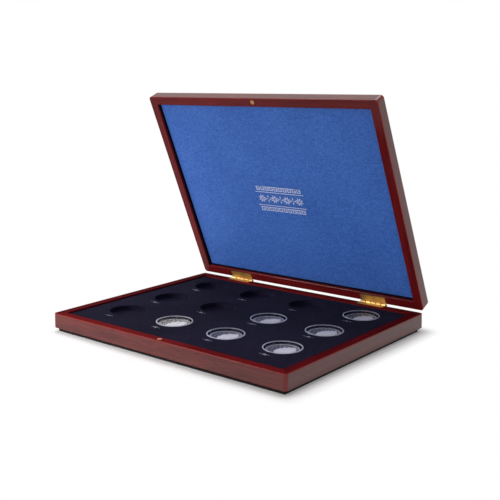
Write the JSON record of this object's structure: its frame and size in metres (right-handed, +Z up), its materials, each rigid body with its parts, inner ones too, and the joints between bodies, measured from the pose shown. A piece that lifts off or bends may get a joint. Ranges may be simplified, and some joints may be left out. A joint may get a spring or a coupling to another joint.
{
  "type": "coin case",
  "caption": "Shallow hinged wooden presentation case whose velvet tray has round wells for coins in clear capsules, with a lined lid.",
  "frame": {"origin": "middle of the felt underside, under the middle of the base rails' outline; the open lid isn't counted", "axes": "+Z up, +X to the right along the front, +Y from the front to the hinges; the case stands on Z = 0 with its lid open"},
  "size_m": [0.305, 0.258, 0.2509],
  "materials": {
    "mahogany": "satin lacquer over red-brown grain",
    "dark_board": "dark stained board",
    "black_felt": "short felt",
    "tray_velvet": "navy-black velvet",
    "lining_cloth": "royal blue shimmering cloth",
    "lining_card": "grey card",
    "hinge_brass": "polished",
    "screw_brass": "polished",
    "magnet_cap": "polished cap",
    "capsule_clear": "clear acrylic",
    "coin_silver": "struck silver"
  },
  "bodies": {
    "base": {"base_front_rail": "mahogany", "base_right_rail": "mahogany", "base_back_rail": "mahogany", "base_left_rail": "mahogany", "base_bottom_board": "dark_board", "underside_felt": "black_felt", "tray_underlay": "tray_velvet", "coin_tray": "tray_velvet", "base_catch_magnet": "magnet_cap", "hinge_left_base_leaf": "hinge_brass", "hinge_right_base_leaf": "hinge_brass", "hinge_left_pin": "hinge_brass", "hinge_right_pin": "hinge_brass", "hinge_base_screws": "screw_brass"},
    "lid": {"lid_front_rail": "mahogany", "lid_right_rail": "mahogany", "lid_back_rail": "mahogany", "lid_left_rail": "mahogany", "lid_panel": "mahogany", "lid_lining": "lining_cloth", "lid_lining_card": "lining_card", "lid_catch_magnet": "magnet_cap", "hinge_left_lid_leaf": "hinge_brass", "hinge_right_lid_leaf": "hinge_brass", "hinge_lid_screws": "screw_brass"},
    "capsule_02": {"capsule_02_lower": "capsule_clear", "coin_02": "coin_silver"},
    "capsule_02_top": {"capsule_02_upper": "capsule_clear"},
    "capsule_03": {"capsule_03_lower": "capsule_clear", "coin_03": "coin_silver"},
    "capsule_03_top": {"capsule_03_upper": "capsule_clear"},
    "capsule_04": {"capsule_04_lower": "capsule_clear", "coin_04": "coin_silver"},
    "capsule_04_top": {"capsule_04_upper": "capsule_clear"},
    "capsule_07": {"capsule_07_lower": "capsule_clear", "coin_07": "coin_silver"},
    "capsule_07_top": {"capsule_07_upper": "capsule_clear"},
    "capsule_08": {"capsule_08_lower": "capsule_clear", "coin_08": "coin_silver"},
    "capsule_08_top": {"capsule_08_upper": "capsule_clear"},
    "capsule_12": {"capsule_12_lower": "capsule_clear", "coin_12": "coin_silver"},
    "capsule_12_top": {"capsule_12_upper": "capsule_clear"}
  },
  "joints": [
    {"name": "lid_hinge", "type": "hinge", "parent": "base", "child": "lid", "pos_m": [0, 0.1243, 0.01985], "axis": [-1, 0, 0], "range_deg": [-66.4, 33.6]},
    {"name": "capsule_02_lift", "type": "slide", "parent": "base", "child": "capsule_02", "axis": [0, 0, 1], "range_m": [0, 0.04]},
    {"name": "capsule_02_opening", "type": "slide", "parent": "capsule_02", "child": "capsule_02_top", "axis": [0, 0, 1], "range_m": [0, 0.01]},
    {"name": "capsule_03_lift", "type": "slide", "parent": "base", "child": "capsule_03", "axis": [0, 0, 1], "range_m": [0, 0.04]},
    {"name": "capsule_03_opening", "type": "slide", "parent": "capsule_03", "child": "capsule_03_top", "axis": [0, 0, 1], "range_m": [0, 0.01]},
    {"name": "capsule_04_lift", "type": "slide", "parent": "base", "child": "capsule_04", "axis": [0, 0, 1], "range_m": [0, 0.04]},
    {"name": "capsule_04_opening", "type": "slide", "parent": "capsule_04", "child": "capsule_04_top", "axis": [0, 0, 1], "range_m": [0, 0.01]},
    {"name": "capsule_07_lift", "type": "slide", "parent": "base", "child": "capsule_07", "axis": [0, 0, 1], "range_m": [0, 0.04]},
    {"name": "capsule_07_opening", "type": "slide", "parent": "capsule_07", "child": "capsule_07_top", "axis": [0, 0, 1], "range_m": [0, 0.01]},
    {"name": "capsule_08_lift", "type": "slide", "parent": "base", "child": "capsule_08", "axis": [0, 0, 1], "range_m": [0, 0.04]},
    {"name": "capsule_08_opening", "type": "slide", "parent": "capsule_08", "child": "capsule_08_top", "axis": [0, 0, 1], "range_m": [0, 0.01]},
    {"name": "capsule_12_lift", "type": "slide", "parent": "base", "child": "capsule_12", "axis": [0, 0, 1], "range_m": [0, 0.04]},
    {"name": "capsule_12_opening", "type": "slide", "parent": "capsule_12", "child": "capsule_12_top", "axis": [0, 0, 1], "range_m": [0, 0.01]}
  ]
}
